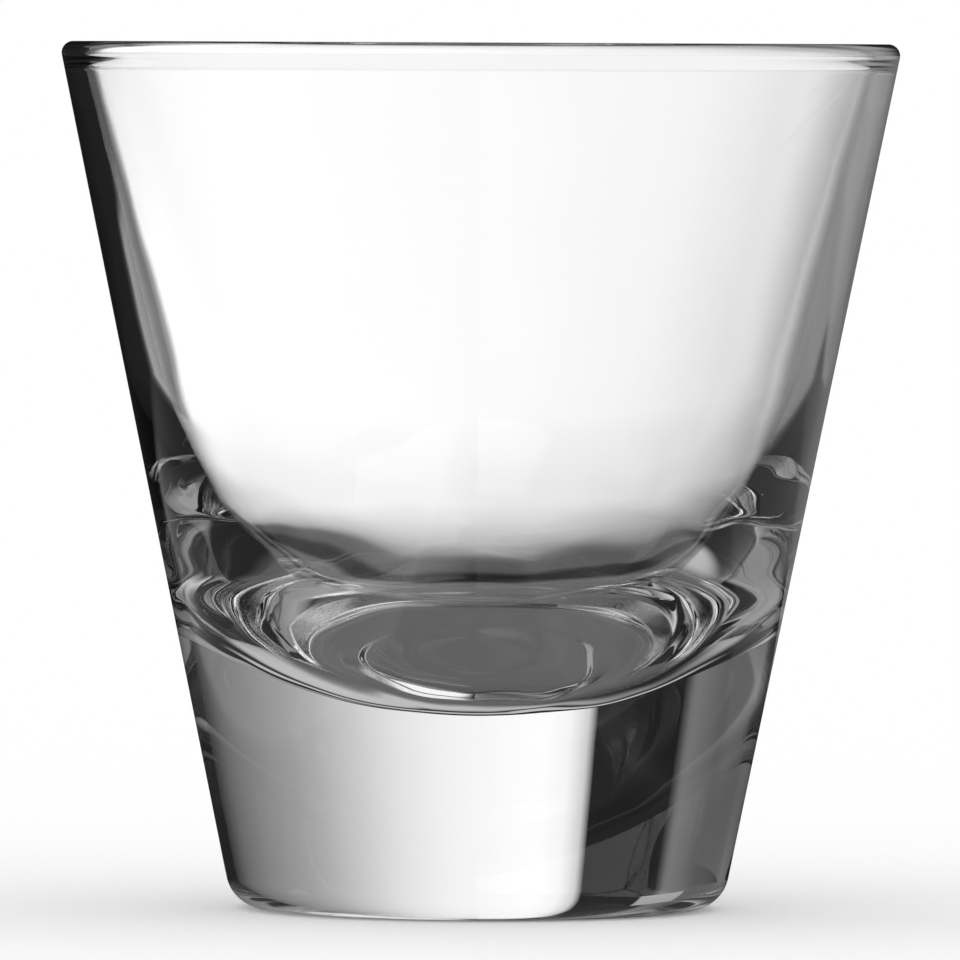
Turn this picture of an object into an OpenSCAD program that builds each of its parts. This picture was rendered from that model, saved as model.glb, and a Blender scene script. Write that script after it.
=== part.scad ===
/* [Outside] */
// Height from the table to the top of the rim
glass_h = 75; // [66:0.5:88]
// Outside diameter of the tapered wall, carried up to the top of the rim
mouth_d = 73; // [68:0.1:80]
// Outside diameter of the tapered wall, carried down to the table
foot_d = 42.4; // [39:0.1:46]
// Radius of the rounded outside corner at the foot
foot_corner_r = 3.4; // [2:0.1:4.4]

/* [Rim and wall] */
// Radius of the round, fire-polished bead at the rim
rim_r = 1; // [0.9:0.05:1.2]
// Radius of the hollow curve that leads from the bead into the inside wall
rim_blend_r = 2.1; // [1:0.1:3]
// Wall thickness beside the bead, square to the outside
wall_t = 1.4; // [1.2:0.05:1.7]
// Angle between the outside and the inside of the wall, which thickens downward, in degrees
wall_taper = 2.7; // [2:0.1:3.4]

/* [Bowl] */
// Thickness of solid glass under the middle of the bowl
base_t = 18.8; // [15:0.1:21]
// Radius of the dished middle of the bowl's floor
dish_r = 22.3; // [18:0.1:25]
// Steepness at which the dished middle ends, in degrees
dish_end = 24; // [19:0.5:28]
// Radius of the flatter ring of floor around the middle
floor_r = 31.2; // [28:0.1:35]
// Steepness at which that ring ends, in degrees
floor_end = 47.4; // [43:0.1:51]
// Radius of the tight corner between the floor and the side of the bowl
corner_r = 12.7; // [9:0.1:15]
// Steepness at which that corner ends, in degrees
corner_end = 58.3; // [55:0.1:62]

/* [Underside] */
// Diameter of the shallow hollow inside the bearing ring
hollow_d = 31; // [26:0.5:34]
// Depth of that hollow
hollow_h = 0.55; // [0.3:0.05:1]
// Width of the sloping edge of that hollow
hollow_edge_w = 1.6; // [0.5:0.1:3]

/* [Hidden] */
$fn = 240;

// Where two curves run into each other, the tighter one laps over the other by this much
lap = 0.0003;
// A tighter arc of the bowl is also carried on by this many degrees at both ends
carry = 3;
// What is cut away reaches this far past the surface that it opens
clear_h = 2;

// Direction a degrees round from straight down
function ray(a) = [sin(a), -cos(a)];

// Outside wall: its slope, and the direction that points square out of it
out_slope = atan((mouth_d - foot_d) / 2 / glass_h);
out_dir = ray(90 - out_slope);

// Centre, at height z, of a circle of radius r that touches the outside wall from within
function against_wall(r, z) = [foot_d / 2 + z * tan(out_slope) - (r - lap) / cos(out_slope), z];
foot_c = against_wall(foot_corner_r, foot_corner_r);
foot_p = foot_c + (foot_corner_r - lap) * out_dir;
rim_c = against_wall(rim_r, glass_h - rim_r);
rim_p = rim_c + (rim_r - lap) * out_dir;

// Inside wall: its directions outward and up, and a point of it beside the bead
side_end = 90 - out_slope - wall_taper;
side_dir = ray(side_end);
side_up = ray(90 + side_end);
side_p = rim_p - wall_t * out_dir;
mouth_p = side_p + (rim_r + clear_h) * side_up;

// Centre of a bowl arc of radius r that runs on from point p, where the outline is a degrees steep
function wider_c(p, r, a) = p - (r + lap) * ray(a);
function tighter_c(p, r, a) = p - (r - lap) * ray(a);

// Bowl: each arc starts where the last one ends
dish_c = [0, base_t + dish_r];
dish_p = dish_c + dish_r * ray(dish_end);
floor_c = wider_c(dish_p, floor_r, dish_end);
floor_p = floor_c + floor_r * ray(floor_end);
corner_c = tighter_c(floor_p, corner_r, floor_end);
corner_p = corner_c + corner_r * ray(corner_end);
// The last arc takes the radius at which it also meets the inside wall
haunch_r = ((side_p - corner_p) * side_dir + 2 * lap) / (1 - ray(corner_end) * side_dir);
haunch_c = wider_c(corner_p, haunch_r, corner_end);
haunch_p = side_p + ((haunch_c - side_p) * side_up) * side_up;

// Blend at the rim: a circle in the bowl that touches both the bead and the inside wall
bead_in = (rim_c - side_p) * side_dir;
blend_drop = sqrt(pow(rim_r + rim_blend_r, 2) - pow(rim_blend_r + bead_in, 2));
blend_c = rim_c - (rim_blend_r + bead_in) * side_dir - blend_drop * side_up;
blend_p = rim_c - blend_drop * side_up;

// The slice of a disc of radius r about c between its rays a and b
module slice(c, r, a, b) {
    intersection() {
        translate(c)
            circle(r);
        polygon([c, c + 2 * r * ray(a), c + 2 * r * ray(b)]);
    }
}

// Half section of the solid tapered block, up to the middle of the bead
module block_section() {
    polygon([[0, 0], [foot_c.x, 0], foot_p, rim_p, rim_c, [0, rim_c.y]]);
    translate(foot_c)
        circle(foot_corner_r);
}

// Half section of the space inside the bowl
module bowl_section() {
    intersection() {
        translate([0, base_t - clear_h])
            square([mouth_d / 2, glass_h]);
        union() {
            slice(dish_c, dish_r, -carry, dish_end + carry);
            slice(floor_c, floor_r, dish_end, floor_end);
            slice(corner_c, corner_r, floor_end - carry, corner_end + carry);
            slice(haunch_c, haunch_r, corner_end, side_end + carry);
            polygon([dish_c - [0, dish_r / 2], (corner_c + corner_p) / 2, haunch_p, mouth_p, [0, mouth_p.y]]);
        }
    }
}

// Half section of the shallow hollow in the underside
module hollow_section() {
    hollow_top = hollow_d / 2 - hollow_edge_w;
    polygon([[0, -clear_h], [hollow_d / 2, -clear_h], [hollow_d / 2, 0], [hollow_top, hollow_h], [0, hollow_h]]);
}

// Half section of the bead at the rim, with the blend that runs down into the inside wall
module rim_section() {
    translate(rim_c)
        circle(rim_r);
    difference() {
        polygon([rim_c, blend_c, blend_p]);
        translate(blend_c)
            circle(rim_blend_r + lap);
    }
}

module glass_body() {
    color([0.86, 0.91, 0.91, 0.45])
        rotate_extrude() {
            difference() {
                block_section();
                bowl_section();
                hollow_section();
            }
            rim_section();
        }
}

glass_body();
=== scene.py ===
import math

import bpy
from mathutils import Matrix, Vector, noise

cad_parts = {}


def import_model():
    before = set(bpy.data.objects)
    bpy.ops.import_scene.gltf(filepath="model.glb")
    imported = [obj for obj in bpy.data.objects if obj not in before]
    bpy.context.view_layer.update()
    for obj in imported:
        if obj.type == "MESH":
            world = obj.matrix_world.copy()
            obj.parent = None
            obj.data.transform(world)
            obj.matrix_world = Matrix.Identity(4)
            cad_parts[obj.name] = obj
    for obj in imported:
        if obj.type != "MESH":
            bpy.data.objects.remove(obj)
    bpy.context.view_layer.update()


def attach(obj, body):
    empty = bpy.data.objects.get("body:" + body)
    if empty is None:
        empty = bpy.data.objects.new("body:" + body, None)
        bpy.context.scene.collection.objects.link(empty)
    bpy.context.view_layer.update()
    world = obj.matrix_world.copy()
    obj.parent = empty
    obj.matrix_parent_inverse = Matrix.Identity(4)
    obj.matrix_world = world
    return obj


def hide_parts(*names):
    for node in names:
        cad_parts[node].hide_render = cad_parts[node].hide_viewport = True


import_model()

# Sizes of the glass in metres and degrees, from part.scad. Beside the rim the wall is 0.2 mm thicker here
# and tapers a little less, and the blend is larger, which brings the streaks there closer to the photograph.
MM = 0.001
GLASS_H = 75 * MM
MOUTH_R = 36.5 * MM
FOOT_R = 21.2 * MM
FOOT_CORNER_R = 3.4 * MM
RIM_R = 1.0 * MM
RIM_BLEND_R = 2.4 * MM
WALL_T = 1.6 * MM
WALL_TAPER = 2.5
BASE_T = 18.8 * MM
# Arcs of the bowl from the middle outward: radius, and the steepness at which each ends
BOWL_ARCS = ((22.3 * MM, 24.0), (31.2 * MM, 47.4), (12.7 * MM, 58.3))
HOLLOW_R = 15.5 * MM
HOLLOW_H = 0.55 * MM
HOLLOW_EDGE_W = 1.6 * MM

# Mesh: pieces round the axis, longest step along an arc in degrees and in metres, and along a straight line
SEGMENTS = 420
ARC_STEP = 4.0
CURVE_STEP = 0.4 * MM
LINE_STEP = 4.0 * MM
HOLLOW_EDGE_STEPS = 12

# Wrinkles in the bowl's surface: depth, usual width, and the share of the depth that is the same all over
CHILL_DEPTH = 0.22 * MM
CHILL_SIZE = 12 * MM
CHILL_MEAN = 0.5
# They keep this share of their depth on the bowl's floor, grow over these radii and end over these heights
CHILL_ON_FLOOR = 0.35
CHILL_GROWS = (9 * MM, 15 * MM)
CHILL_ENDS = (33 * MM, 42 * MM)
# A wide noise that bends them: its scale beside theirs, and how far it moves them
BEND_SCALE = 0.6
BEND = 1.5
# The main noise: its share of the depth, its scale upward, and its place in the noise
SLOW_SHARE = 0.5
SLOW_SCALE_Z = 2
SLOW_PLACE = Vector((0, 0, 5))
# The fine noise on top of it: the same, with its scale along all three axes
FINE_SHARE = 0.15
FINE_SCALE = Vector((2, 2, 3))
FINE_PLACE = Vector((7, 3, 1))
# Uneven ring in the bowl's floor: its depth, the radii over which it starts and ends, the share of the depth
# that is the same all round, how fast the rest changes on the way round, and its place in the noise
RING_DEPTH = 0.4 * MM
RING_STARTS = (3 * MM, 8 * MM)
RING_ENDS = (10 * MM, 15 * MM)
RING_MEAN = 0.5
RING_LOBES = 1.6
RING_PLACE_Z = 4.3

# Painted light and shade that only the glass shows, in place of the studio it reflects and sees through:
# display values by direction in degrees from straight behind it, positive to the right. What is seen
# straight through and by way of a bounce have their own painted patterns.
PAINTED_SKY_THROUGH = (
    (-180, .2), (-112, .3), (-106, .9), (-86, .95), (-80, .36), (-50, .36), (-42, .42), (-37, .46),
    (-34, .14), (-16.5, .14), (-15.6, .78), (-13, .95), (-9, .99), (-5, .98), (1, .955), (5, .935),
    (11, .88), (17, .79), (25, .67), (31, .605), (42, .53), (57, .45), (67, .36), (78, .30), (110, .13),
    (170, .13),
)
PAINTED_SKY_BOUNCED = (
    (-180, .5), (-165, .4), (-150, .3), (-130, .4), (-118, .5), (-106, .5), (-96, .16), (-72, .16),
    (-64, .8), (-54, .6), (-44, .25), (-34, .14), (6, .14), (12, .25), (20, .45), (42, .6), (60, .55),
    (75, .5), (104, .55), (120, .4), (128, .14), (175, .14),
)
PAINTED_TABLE_THROUGH = (
    (-180, .3), (-150, .98), (-24, .98), (-20.5, .9), (-19.3, .66), (-18, .6), (-15.2, .42), (-14.2, .4),
    (-13.6, 1.2), (-11.5, 1.15), (-9.5, 1.08), (-7.5, 1.02), (-1, .99), (1, .965), (3, .94), (5, .91),
    (7, .88), (9, .83), (10.2, .79), (11.2, .75), (11.9, .86), (12.7, .82), (14, .72), (15.5, .6),
    (17, .56), (20, .57), (27, .54), (36, .98), (150, .98), (165, .3),
)
PAINTED_BOUNCED_CLOSE = (
    (-180, .14), (-60, .14), (-36, .3), (-28, .5), (-23.2, .66), (-22.4, .14), (5, .14), (17, .14),
    (18.7, .3), (20, .5), (60, .5), (90, .3), (120, .14),
)
PAINTED_BOUNCED_FAR = (
    (-180, .14), (-115, .14), (-108, .36), (-98, .36), (-90, .14), (3, .14), (6, .42), (14, .52), (20, .58),
    (40, .58), (60, .4), (90, .2), (120, .14),
)
HALF_TURN = 180
# The table's directions are taken from a point in front of the glass, and close to it one value holds
TABLE_PIVOT = Vector((0, -160 * MM, 0))
PIVOT_FADE = (60 * MM, 160 * MM)
PIVOT_VALUE = 0.7
# Painted shadow round the glass, with a dark ring in it, on the table that the glass shows: millimetres from
# a point in front of the axis, and display value
NEAR_CENTRE = Vector((0, -25 * MM, 0))
NEAR_SHADOW = (
    (0, .42), (53, .42), (56, .14), (62, .14), (64.5, .33), (69, .35), (71, .42), (73, .56), (77, .70),
    (83, .78), (95, .87), (115, .93), (175, .965), (275, 1),
)
# A darker strip in the painted table on its left, seen only in the glass: its directions, where it starts,
# and the value closer than that
STRIP = (-30, -13.5)
STRIP_STARTS = (148 * MM, 165 * MM)
STRIP_BEFORE = 0.98
# Distance at which the close pattern of the table, seen by way of a bounce, gives way to the far one
CLOSE_TO_FAR = (280 * MM, 320 * MM)
# Painted shadow on the table under the glass, seen only by way of a bounce: display value, and how far from
# the axis it ends
UNDER_SHADOW = 0.36
UNDER_ENDS = (22 * MM, 32 * MM)
# Painted patches of light and shade on the table near the glass, seen only by way of a bounce: place, inner
# and outer radius, value
PAINTED_PATCHES = (
    (Vector((-10 * MM, 38 * MM, 0)), 8 * MM, 20 * MM, 0.7),
    (Vector((3 * MM, 88 * MM, 0)), 16 * MM, 30 * MM, 0.7),
    (Vector((98 * MM, -20 * MM, 0)), 42 * MM, 56 * MM, 0.14),
)
# The painted table and sky glow brighter than white for rays from the glass, which makes up for what the
# glass reflects away
TABLE_GAIN = 1.2
SKY_GAIN = 1.1
# Glowing cards a metre away that light nothing and show only in the glass as painted reflections: name,
# first and last direction in plan, lowest and highest elevation, display value, and the degrees over which
# both ends fade out
CARDS = (
    ("softbox", (60, 180), (41, 84), 1.0, 30),
    ("painted_front_reflection", (150, 218), (41, 58), 1.0, 8),
    ("painted_high_card", (-46, -29.5), (19.5, 32), 0.66, 1),
)
CARD_STEPS = 16

# The table itself: its grey, its width in metres, and how far it lies under the foot
TABLE_GREY = 0.86
FLOOR_SIZE = 60
FLOOR_DROP = 0.02 * MM

# The photograph's view, fitted to the outline of the glass. In glass heights: the eye's height and its
# distance, and the height of the glass's middle
EYE_H = 1.009
EYE_AWAY = 17.0
GLASS_MIDDLE = 0.5
# In pixels of the photograph: the frame's width, the glass's height, the column of its axis, and how far
# its middle lies above the middle of the frame
FRAME_PX = 960
GLASS_PX = 865.8
AXIS_PX = 479.04
RAISED_PX = 4.3
# Roll of the camera in degrees, and the width of its sensor in millimetres
ROLL = 0.25
SENSOR = 36

# Light runs round the bowl's edge in many reflections before it leaves the glass
GLOSSY_BOUNCES = 12

DISPLAY_GAMMA = 2.2
# Sockets of a Mix node that mixes colours
MIX_FACTOR = 0
MIX_FIRST = 6
MIX_SECOND = 7
MIX_RESULT = 2


def ray(a):
    """Direction a degrees round from straight down, in the half section's (r, z) plane."""
    a = math.radians(a)
    return Vector((math.sin(a), -math.cos(a)))


def arc(c, r, a, b):
    """Points of an arc of radius r about c, from direction a to direction b."""
    turn = abs(b - a)
    n = max(2, math.ceil(turn / ARC_STEP), math.ceil(math.radians(turn) * r / CURVE_STEP))
    return [c + r * ray(a + (b - a) * i / n) for i in range(n + 1)]


def line(p, q):
    """Points strictly between p and q."""
    n = max(1, round((q - p).length / LINE_STEP))
    return [p.lerp(q, i / n) for i in range(1, n)]


def smooth(t):
    """A smooth step from 0 to 1 as t runs from 0 to 1."""
    return t * t * (3 - 2 * t)


def half_section():
    """The outline from the middle of the underside, round the outside and the rim, to the bowl's middle.

    Returns its points, and the number of the point where the bowl's surface starts.
    """
    slope = math.atan2(MOUTH_R - FOOT_R, GLASS_H)
    out_end = 90 - math.degrees(slope)
    out_dir = ray(out_end)

    def against_wall(r, z):
        return Vector((FOOT_R + z * math.tan(slope) - r / math.cos(slope), z))

    foot_c = against_wall(FOOT_CORNER_R, FOOT_CORNER_R)
    rim_c = against_wall(RIM_R, GLASS_H - RIM_R)
    side_end = out_end - WALL_TAPER
    side_dir = ray(side_end)
    side_up = ray(90 + side_end)
    side_p = rim_c + (RIM_R - WALL_T) * out_dir

    # Bowl, from the middle outward: centre, radius, first and last direction of each arc
    bowl = []
    end = 0.0
    p = Vector((0, BASE_T))
    for r, a in BOWL_ARCS:
        c = p - r * ray(end)
        bowl.append((c, r, end, a))
        p = c + r * ray(a)
        end = a
    haunch_r = (side_p - p).dot(side_dir) / (1 - ray(end).dot(side_dir))
    bowl.append((p - haunch_r * ray(end), haunch_r, end, side_end))

    # Blend between the bead and the inside wall
    bead_in = (rim_c - side_p).dot(side_dir)
    drop = math.sqrt((RIM_R + RIM_BLEND_R) ** 2 - (RIM_BLEND_R + bead_in) ** 2)
    blend_c = rim_c - (RIM_BLEND_R + bead_in) * side_dir - drop * side_up
    d = blend_c - rim_c
    bead_end = math.degrees(math.atan2(d.x, -d.y)) % 360

    # Underside: the hollow's edge is an S-shaped slope
    pts = [Vector((0, HOLLOW_H))]
    edge = Vector((HOLLOW_R - HOLLOW_EDGE_W, HOLLOW_H))
    pts += line(pts[0], edge)
    for i in range(HOLLOW_EDGE_STEPS + 1):
        t = i / HOLLOW_EDGE_STEPS
        pts.append(Vector((edge.x + HOLLOW_EDGE_W * t, HOLLOW_H * (1 - smooth(t)))))
    pts += line(pts[-1], Vector((foot_c.x, 0)))
    pts += arc(foot_c, FOOT_CORNER_R, 0, out_end)
    bead = arc(rim_c, RIM_R, out_end, bead_end)
    pts += line(pts[-1], bead[0]) + bead
    bowl_start = len(pts)
    pts += arc(blend_c, RIM_BLEND_R, bead_end - 180, side_end)[1:]
    c, r, a, b = bowl[-1]
    haunch = arc(c, r, b, a)
    pts += line(pts[-1], haunch[0]) + haunch
    for c, r, a, b in reversed(bowl[:-1]):
        pts += arc(c, r, b, a)[1:]
    pts[-1].x = 0
    return pts, bowl_start


def add_object(name, data):
    ob = bpy.data.objects.new(name, data)
    bpy.context.scene.collection.objects.link(ob)
    return ob


def lathe(name, pts, shift):
    """A closed surface of revolution. shift(number, point, angle) moves a vertex along its normal."""
    last = len(pts) - 1
    normals = []
    for i in range(last + 1):
        t = (pts[min(i + 1, last)] - pts[max(i - 1, 0)]).normalized()
        normals.append(Vector((t.y, -t.x)))
    normals[0] = Vector((0, -1))
    normals[last] = Vector((0, 1))
    verts = []
    rings = []
    for i, p in enumerate(pts):
        if i in (0, last):
            rings.append([len(verts)])
            verts.append((0, 0, p.y))
            continue
        rings.append(range(len(verts), len(verts) + SEGMENTS))
        for k in range(SEGMENTS):
            a = 2 * math.pi * k / SEGMENTS
            q = p + normals[i] * shift(i, p, a)
            verts.append((q.x * math.cos(a), q.x * math.sin(a), q.y))
    faces = []
    for lower, upper in zip(rings, rings[1:]):
        for k in range(SEGMENTS):
            m = (k + 1) % SEGMENTS
            if len(lower) == 1:
                faces.append((lower[0], upper[m], upper[k]))
            elif len(upper) == 1:
                faces.append((lower[k], lower[m], upper[0]))
            else:
                faces.append((lower[k], lower[m], upper[m], upper[k]))
    mesh = bpy.data.meshes.new(name)
    mesh.from_pydata(verts, [], faces)
    mesh.validate()
    for f in mesh.polygons:
        f.use_smooth = True
    mesh.update()
    return add_object(name, mesh)


def fade(x, low, high):
    """A smooth step from 0 at low to 1 at high."""
    return smooth(min(max((x - low) / (high - low), 0), 1))


def chill(p, a):
    """Depth of the wrinkles that the mould leaves low in the bowl, at outline point p and angle a."""
    grown = CHILL_ON_FLOOR + (1 - CHILL_ON_FLOOR) * fade(p.x, *CHILL_GROWS)
    band = grown * (1 - fade(p.y, *CHILL_ENDS))
    if band == 0:
        return 0.0
    at = Vector((p.x * math.cos(a), p.x * math.sin(a), p.y)) / CHILL_SIZE
    bend = noise.noise(at * BEND_SCALE) * BEND
    slow = noise.noise(Vector((at.x + bend, at.y - bend, at.z * SLOW_SCALE_Z)) + SLOW_PLACE)
    fine = noise.noise(at * FINE_SCALE + FINE_PLACE)
    wrinkles = band * CHILL_DEPTH * (CHILL_MEAN + SLOW_SHARE * slow + FINE_SHARE * fine)
    round_way = noise.noise(Vector((RING_LOBES * math.cos(a), RING_LOBES * math.sin(a), RING_PLACE_Z)))
    ring = fade(p.x, *RING_STARTS) * (1 - fade(p.x, *RING_ENDS))
    return wrinkles + ring * RING_DEPTH * (RING_MEAN + round_way)


def nodes_of(owner):
    """The empty node tree of a material or a world."""
    owner.use_nodes = True
    tree = owner.node_tree
    tree.nodes.clear()
    return tree


def add(tree, kind, **values):
    """A node of that kind, with its sockets' values given by name, or by number as in _0."""
    node = tree.nodes.new(kind)
    for key, value in values.items():
        if key.startswith("_"):
            node.inputs[int(key[1:])].default_value = value
        elif key in node.bl_rna.properties:
            setattr(node, key, value)
        else:
            node.inputs[key.replace("_", " ")].default_value = value
    return node


def clear_glass():
    mat = bpy.data.materials.new("clear_glass")
    tree = nodes_of(mat)
    link = tree.links.new
    out = add(tree, "ShaderNodeOutputMaterial")
    glass = add(tree, "ShaderNodeBsdfPrincipled", IOR=1.5, Transmission_Weight=1.0)
    link(glass.outputs[0], out.inputs[0])
    place = add(tree, "ShaderNodeTexCoord").outputs["Object"]
    # Faint streaks in the melt
    melt = add(tree, "ShaderNodeTexNoise", Scale=60.0, Detail=2.0, Distortion=1.5)
    link(place, melt.inputs["Vector"])
    tint = add(tree, "ShaderNodeValToRGB")
    link(melt.outputs[0], tint.inputs[0])
    tint.color_ramp.elements[0].color = (0.985, 0.99, 0.988, 1)
    tint.color_ramp.elements[1].color = (1, 1, 1, 1)
    link(tint.outputs[0], glass.inputs["Base Color"])
    # The ring that the glass stands on is scuffed
    split = add(tree, "ShaderNodeSeparateXYZ")
    link(place, split.inputs[0])
    low = add(tree, "ShaderNodeMapRange", From_Min=0.05 * MM, From_Max=0.3 * MM, To_Min=0.3, To_Max=0.0)
    link(split.outputs["Z"], low.inputs["Value"])
    grain = add(tree, "ShaderNodeTexNoise", Scale=1500.0, Detail=3.0)
    link(place, grain.inputs["Vector"])
    scuff = add(tree, "ShaderNodeMath", operation="MULTIPLY")
    link(low.outputs[0], scuff.inputs[0])
    link(grain.outputs[0], scuff.inputs[1])
    link(scuff.outputs[0], glass.inputs["Roughness"])
    # The pressed surface is a little uneven
    wave = add(tree, "ShaderNodeTexNoise", Scale=110.0, Detail=1.0)
    link(place, wave.inputs["Vector"])
    bump = add(tree, "ShaderNodeBump", Strength=1.0, Distance=0.02 * MM)
    link(wave.outputs[0], bump.inputs["Height"])
    link(bump.outputs[0], glass.inputs["Normal"])
    return mat


def grey(value):
    """The colour that shows as a grey of that display value."""
    level = value ** DISPLAY_GAMMA
    return level, level, level, 1


def seen_ramp(tree, factor, stops, low, high):
    """Grey from a value that runs from low to high, with a display value at each stop."""
    turn = add(tree, "ShaderNodeMapRange", From_Min=low, From_Max=high)
    tree.links.new(factor, turn.inputs["Value"])
    ramp = add(tree, "ShaderNodeValToRGB")
    tree.links.new(turn.outputs[0], ramp.inputs[0])
    marks = ramp.color_ramp.elements
    marks.remove(marks[-1])
    for i, (at, value) in enumerate(stops):
        at = (at - low) / (high - low)
        mark = marks[0] if i == 0 else marks.new(at)
        mark.position = at
        mark.color = grey(value)
    return ramp.outputs[0]


def seen_round(tree, angle, stops):
    """Grey by direction in plan."""
    return seen_ramp(tree, angle, stops, -HALF_TURN, HALF_TURN)


def direction(tree, vector, pivot=Vector()):
    """Degrees of a vector's direction in plan, from straight behind the glass."""
    link = tree.links.new
    off = add(tree, "ShaderNodeVectorMath", operation="SUBTRACT", _1=pivot)
    link(vector, off.inputs[0])
    split = add(tree, "ShaderNodeSeparateXYZ")
    link(off.outputs[0], split.inputs[0])
    angle = add(tree, "ShaderNodeMath", operation="ARCTAN2")
    link(split.outputs["X"], angle.inputs[0])
    link(split.outputs["Y"], angle.inputs[1])
    degrees = add(tree, "ShaderNodeMath", operation="DEGREES")
    link(angle.outputs[0], degrees.inputs[0])
    return degrees.outputs[0]


def choose(tree, factor, first, second):
    """The first colour where the factor is 0, the second where it is 1. The first may be a grey's value."""
    mix = add(tree, "ShaderNodeMix", data_type="RGBA")
    tree.links.new(factor, mix.inputs[MIX_FACTOR])
    if isinstance(first, float):
        mix.inputs[MIX_FIRST].default_value = grey(first)
    else:
        tree.links.new(first, mix.inputs[MIX_FIRST])
    tree.links.new(second, mix.inputs[MIX_SECOND])
    return mix.outputs[MIX_RESULT]


def distance(tree, vector, centre):
    """Length from a centre to the point that a vector gives."""
    off = add(tree, "ShaderNodeVectorMath", operation="DISTANCE", _1=centre)
    tree.links.new(vector, off.inputs[0])
    return off.outputs["Value"]


def seen_in_glass(tree):
    """1 for rays that come from glass, 0 for the camera's own rays and for the light on other surfaces."""
    path = add(tree, "ShaderNodeLightPath")
    either = add(tree, "ShaderNodeMath", operation="MAXIMUM")
    tree.links.new(path.outputs["Is Transmission Ray"], either.inputs[0])
    tree.links.new(path.outputs["Is Glossy Ray"], either.inputs[1])
    return either.outputs[0]


def has_bounced(tree):
    """1 for rays that the glass has reflected, at its surface or within."""
    more = add(tree, "ShaderNodeMath", operation="GREATER_THAN", _1=0.5)
    tree.links.new(add(tree, "ShaderNodeLightPath").outputs["Glossy Depth"], more.inputs[0])
    return more.outputs[0]


def span(tree, value, low, high):
    """A smooth step from 0 at low to 1 at high."""
    step = add(tree, "ShaderNodeMapRange", interpolation_type="SMOOTHSTEP", From_Min=low, From_Max=high)
    tree.links.new(value, step.inputs["Value"])
    return step.outputs[0]


def table_through(tree, place, angle, dist):
    """The painted table that the glass shows straight through it: painted light and shade, darkened by a
    painted shadow round the glass.
    """
    before = [(a, STRIP_BEFORE if STRIP[0] < a < STRIP[1] else value) for a, value in PAINTED_TABLE_THROUGH]
    strip = span(tree, dist, *STRIP_STARTS)
    pattern = choose(tree, strip, seen_round(tree, angle, before), seen_round(tree, angle, PAINTED_TABLE_THROUGH))
    pattern = choose(tree, span(tree, distance(tree, place, TABLE_PIVOT), *PIVOT_FADE), PIVOT_VALUE, pattern)
    # Painted shadow round the glass, multiplied into the painted table
    near_shadow = [(r * MM, value) for r, value in NEAR_SHADOW]
    both = add(tree, "ShaderNodeMix", data_type="RGBA", blend_type="MULTIPLY", _0=1.0)
    tree.links.new(seen_ramp(tree, dist, near_shadow, 0, near_shadow[-1][0]), both.inputs[MIX_FIRST])
    tree.links.new(pattern, both.inputs[MIX_SECOND])
    return both.outputs[MIX_RESULT]


def table_bounced(tree, place, angle, dist):
    """The painted table that the glass shows by way of a bounce in it, with painted patches of light and
    shade and a painted shadow under the glass.
    """
    close = seen_round(tree, angle, PAINTED_BOUNCED_CLOSE)
    far = seen_round(tree, angle, PAINTED_BOUNCED_FAR)
    pattern = choose(tree, span(tree, dist, *CLOSE_TO_FAR), close, far)
    for centre, inner, outer, value in PAINTED_PATCHES:
        pattern = choose(tree, span(tree, distance(tree, place, centre), inner, outer), value, pattern)
    # Painted shadow under the glass
    return choose(tree, span(tree, distance(tree, place, Vector()), *UNDER_ENDS), UNDER_SHADOW, pattern)


def table_material():
    """Pale matt paper that shows white to the camera, and painted light and shade to rays from the glass."""
    mat = bpy.data.materials.new("table")
    tree = nodes_of(mat)
    link = tree.links.new
    pale = add(tree, "ShaderNodeBsdfDiffuse", Color=(TABLE_GREY, TABLE_GREY, TABLE_GREY, 1))
    rest = 1 - TABLE_GREY
    fill = add(tree, "ShaderNodeEmission", Color=(rest, rest, rest, 1))
    link(add(tree, "ShaderNodeLightPath").outputs["Is Camera Ray"], fill.inputs["Strength"])
    both = add(tree, "ShaderNodeAddShader")
    link(pale.outputs[0], both.inputs[0])
    link(fill.outputs[0], both.inputs[1])
    place = add(tree, "ShaderNodeTexCoord").outputs["Object"]
    angle = direction(tree, place, TABLE_PIVOT)
    dist = distance(tree, place, NEAR_CENTRE)
    through = table_through(tree, place, angle, dist)
    bounced = table_bounced(tree, place, angle, dist)
    seen = add(tree, "ShaderNodeEmission", Strength=TABLE_GAIN)
    link(choose(tree, has_bounced(tree), through, bounced), seen.inputs["Color"])
    mix = add(tree, "ShaderNodeMixShader")
    link(seen_in_glass(tree), mix.inputs[0])
    link(both.outputs[0], mix.inputs[1])
    link(seen.outputs[0], mix.inputs[2])
    link(mix.outputs[0], add(tree, "ShaderNodeOutputMaterial").inputs[0])
    return mat


def world():
    """White for the camera and as light on surfaces, and painted light and shade that only rays from the
    glass see.
    """
    w = bpy.data.worlds.new("studio")
    bpy.context.scene.world = w
    tree = nodes_of(w)
    link = tree.links.new
    angle = direction(tree, add(tree, "ShaderNodeTexCoord").outputs["Generated"])
    # Painted reflections and refractions: bands of light and shade that light nothing else
    through = seen_round(tree, angle, PAINTED_SKY_THROUGH)
    bounced = seen_round(tree, angle, PAINTED_SKY_BOUNCED)
    painted_sky = add(tree, "ShaderNodeBackground", Strength=SKY_GAIN)
    link(choose(tree, has_bounced(tree), through, bounced), painted_sky.inputs["Color"])
    plain = add(tree, "ShaderNodeBackground", Color=(1, 1, 1, 1), Strength=1.0)
    mix = add(tree, "ShaderNodeMixShader")
    link(seen_in_glass(tree), mix.inputs[0])
    link(plain.outputs[0], mix.inputs[1])
    link(painted_sky.outputs[0], mix.inputs[2])
    link(mix.outputs[0], add(tree, "ShaderNodeOutputWorld").inputs[0])


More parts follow.
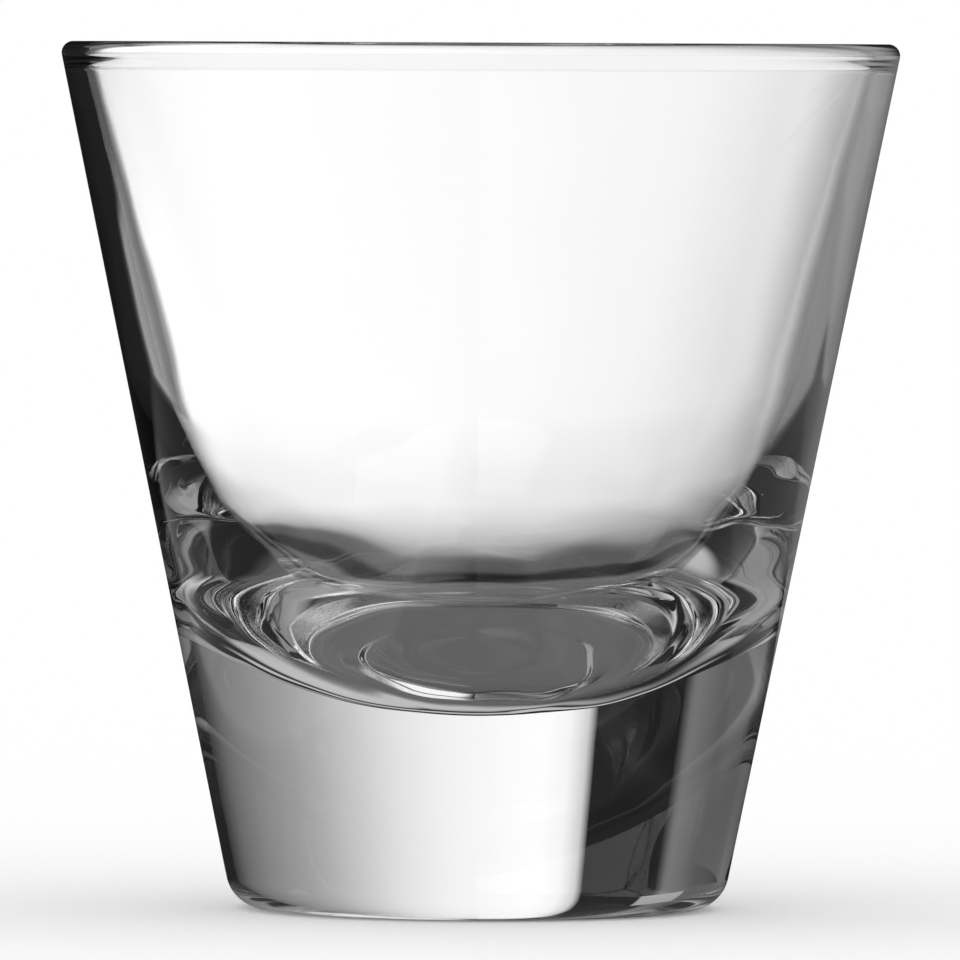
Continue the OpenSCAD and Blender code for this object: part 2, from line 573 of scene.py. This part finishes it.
def card(name, az, el, value, soft):
    """A curved glowing card one metre from the axis, over the directions az and the elevations el, shown
    only in the glass as a painted reflection.

    It is built about straight behind the glass and then turned to its middle direction.
    """
    middle = (az[0] + az[1]) / 2
    half = (az[1] - az[0]) / 2
    mesh = bpy.data.meshes.new(name)
    verts = []
    for i in range(CARD_STEPS + 1):
        side = math.radians(half * (2 * i / CARD_STEPS - 1))
        for up in el:
            up = math.radians(up)
            verts.append((math.cos(up) * math.sin(side), math.cos(up) * math.cos(side), math.sin(up)))
    mesh.from_pydata(verts, [], [(2 * i, 2 * i + 1, 2 * i + 3, 2 * i + 2) for i in range(CARD_STEPS)])
    mat = bpy.data.materials.new(name)
    tree = nodes_of(mat)
    glow = add(tree, "ShaderNodeEmission", Color=grey(value))
    off = add(tree, "ShaderNodeMath", operation="ABSOLUTE")
    tree.links.new(direction(tree, add(tree, "ShaderNodeTexCoord").outputs["Object"]), off.inputs[0])
    tree.links.new(span(tree, off.outputs[0], half, half - soft), glow.inputs["Strength"])
    tree.links.new(glow.outputs[0], add(tree, "ShaderNodeOutputMaterial").inputs[0])
    mesh.materials.append(mat)
    ob = add_object(name, mesh)
    ob.rotation_euler.z = -math.radians(middle)
    # The card is a painted reflection: the camera doesn't see it, and it lights and shades nothing
    ob.visible_camera = False
    ob.visible_diffuse = False
    ob.visible_shadow = False


def camera():
    """The photograph's view: a long lens, a little above the rim, looking slightly down."""
    rise = EYE_H - GLASS_MIDDLE
    focal_px = GLASS_PX * math.hypot(EYE_AWAY, rise)
    pitch = math.atan2(rise, EYE_AWAY) + RAISED_PX / focal_px
    data = bpy.data.cameras.new("camera")
    data.sensor_width = SENSOR
    data.lens = focal_px * SENSOR / FRAME_PX
    data.clip_start = 0.01
    data.clip_end = 100
    data.shift_x = (FRAME_PX / 2 - AXIS_PX) / FRAME_PX
    ob = add_object("camera", data)
    ahead = Vector((0, math.cos(pitch), -math.sin(pitch)))
    level = ahead.to_track_quat("-Z", "Y").to_matrix().to_4x4()
    turn = Matrix.Rotation(math.radians(-ROLL), 4, ahead) @ level
    ob.matrix_world = Matrix.Translation((0, -EYE_AWAY * GLASS_H, EYE_H * GLASS_H)) @ turn
    bpy.context.scene.camera = ob


def cortado_glass():
    """The glass, with the wrinkles cut into its bowl."""
    pts, bowl_start = half_section()
    glass = lathe("glass", pts, lambda i, p, a: -chill(p, a) if i >= bowl_start else 0.0)
    glass.data.materials.append(clear_glass())
    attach(glass, "root")
    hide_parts("glass_body")


def floor():
    s = FLOOR_SIZE / 2
    mesh = bpy.data.meshes.new("floor")
    mesh.from_pydata([(-s, -s, 0), (s, -s, 0), (s, s, 0), (-s, s, 0)], [], [(0, 1, 2, 3)])
    mesh.materials.append(table_material())
    ob = add_object("floor", mesh)
    ob.location.z = -FLOOR_DROP


cortado_glass()
floor()
world()
for values in CARDS:
    card(*values)
camera()
bpy.context.scene.view_settings.view_transform = "Standard"
bpy.context.scene.cycles.glossy_bounces = GLOSSY_BOUNCES
